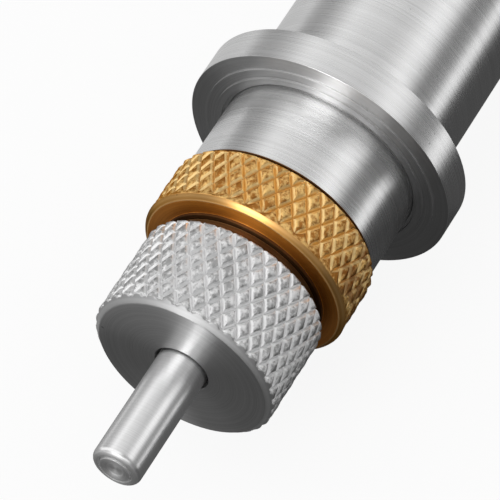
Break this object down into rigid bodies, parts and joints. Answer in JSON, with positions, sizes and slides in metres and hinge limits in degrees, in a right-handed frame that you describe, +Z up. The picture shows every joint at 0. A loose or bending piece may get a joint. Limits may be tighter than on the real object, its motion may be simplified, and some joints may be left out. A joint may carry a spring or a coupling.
{
  "type": "spring-loaded centre punch",
  "caption": "Spring-loaded centre punch: flanged aluminium handle tube, knurled nose cap, brass lock ring and a steel pin that trips an inner hammer when pushed in.",
  "frame": {"origin": "on the table under the middle of the tool, which lies on its flange and its palm cap", "axes": "+X along the tool's axis towards the pin, +Z up from the table"},
  "size_m": [0.13, 0.0218, 0.0219],
  "materials": {
    "turned_aluminium": "turned, satin, with fine lines around the axis",
    "knurled_aluminium": "bright diamond knurl, turned end faces",
    "brass": "knurled and turned, satin",
    "polished_steel": "ground and polished, lightly scratched",
    "tool_steel": "hardened and oiled",
    "spring_steel": "drawn wire, blued",
    "rubber": "matt black"
  },
  "bodies": {
    "housing": {"handle_tube": "turned_aluminium", "front_barrel": "turned_aluminium", "stem_bush": "brass", "trip_sleeve": "tool_steel", "end_bush": "brass", "bush_screw_left": "tool_steel", "bush_screw_right": "tool_steel", "return_spring": "spring_steel"},
    "nose_stop": {"buffer_washer": "rubber"},
    "nose": {"nose_cap": "knurled_aluminium"},
    "ring": {"lock_ring": "brass"},
    "punch": {"punch_pin": "polished_steel", "pin_holder": "tool_steel", "pin_set_screw": "tool_steel"},
    "striker": {"hammer": "tool_steel", "trip_leaf": "spring_steel"},
    "trip": {"trip_block": "tool_steel"},
    "preload": {"spring_seat": "tool_steel", "thrust_washer": "brass", "power_spring": "spring_steel"},
    "palm": {"rear_cap": "knurled_aluminium", "cap_o_ring": "rubber"}
  },
  "joints": [
    {"name": "nose_travel", "type": "slide", "parent": "housing", "child": "nose_stop", "axis": [1, 0, 0], "range_m": [0, 0.002]},
    {"name": "nose_turn", "type": "hinge", "parent": "nose_stop", "child": "nose", "pos_m": [0.05, 0, 0.01095], "axis": [1, 0, 0], "range_deg": [0, 961]},
    {"name": "ring_turn", "type": "hinge", "parent": "housing", "child": "ring", "pos_m": [0.0431, 0, 0.01095], "axis": [1, 0, 0], "range_deg": [-120, 0]},
    {"name": "punch_slide", "type": "slide", "parent": "nose_stop", "child": "punch", "axis": [-1, 0, 0], "range_m": [0, 0.006], "stiffness_N_per_m": 950, "springref_m": -0.004, "deforming": ["return_spring"]},
    {"name": "striker_slide", "type": "slide", "parent": "nose_stop", "child": "striker", "axis": [-1, 0, 0], "range_m": [0, 0.00601], "stiffness_N_per_m": 5100, "springref_m": -0.006, "deforming": ["power_spring"]},
    {"name": "trip_shift", "type": "slide", "parent": "striker", "child": "trip", "axis": [0, -1, 0], "range_m": [0, 0.00101], "deforming": ["trip_leaf"]},
    {"name": "preload_travel", "type": "slide", "parent": "housing", "child": "preload", "axis": [1, 0, 0], "range_m": [-0.002, 0.004]},
    {"name": "palm_turn", "type": "hinge", "parent": "preload", "child": "palm", "pos_m": [-0.058, 0, 0.01095], "axis": [1, 0, 0], "range_deg": [-721, 1441]}
  ],
  "couplings": [
    {"joint": "nose_turn", "follows": "nose_travel", "rad_per_m": 8377.6},
    {"joint": "striker_slide", "follows": "punch_slide", "ratio": 1},
    {"joint": "trip_shift", "follows": "punch_slide", "ratio": 0.16667},
    {"joint": "palm_turn", "follows": "preload_travel", "rad_per_m": 6283.2}
  ]
}
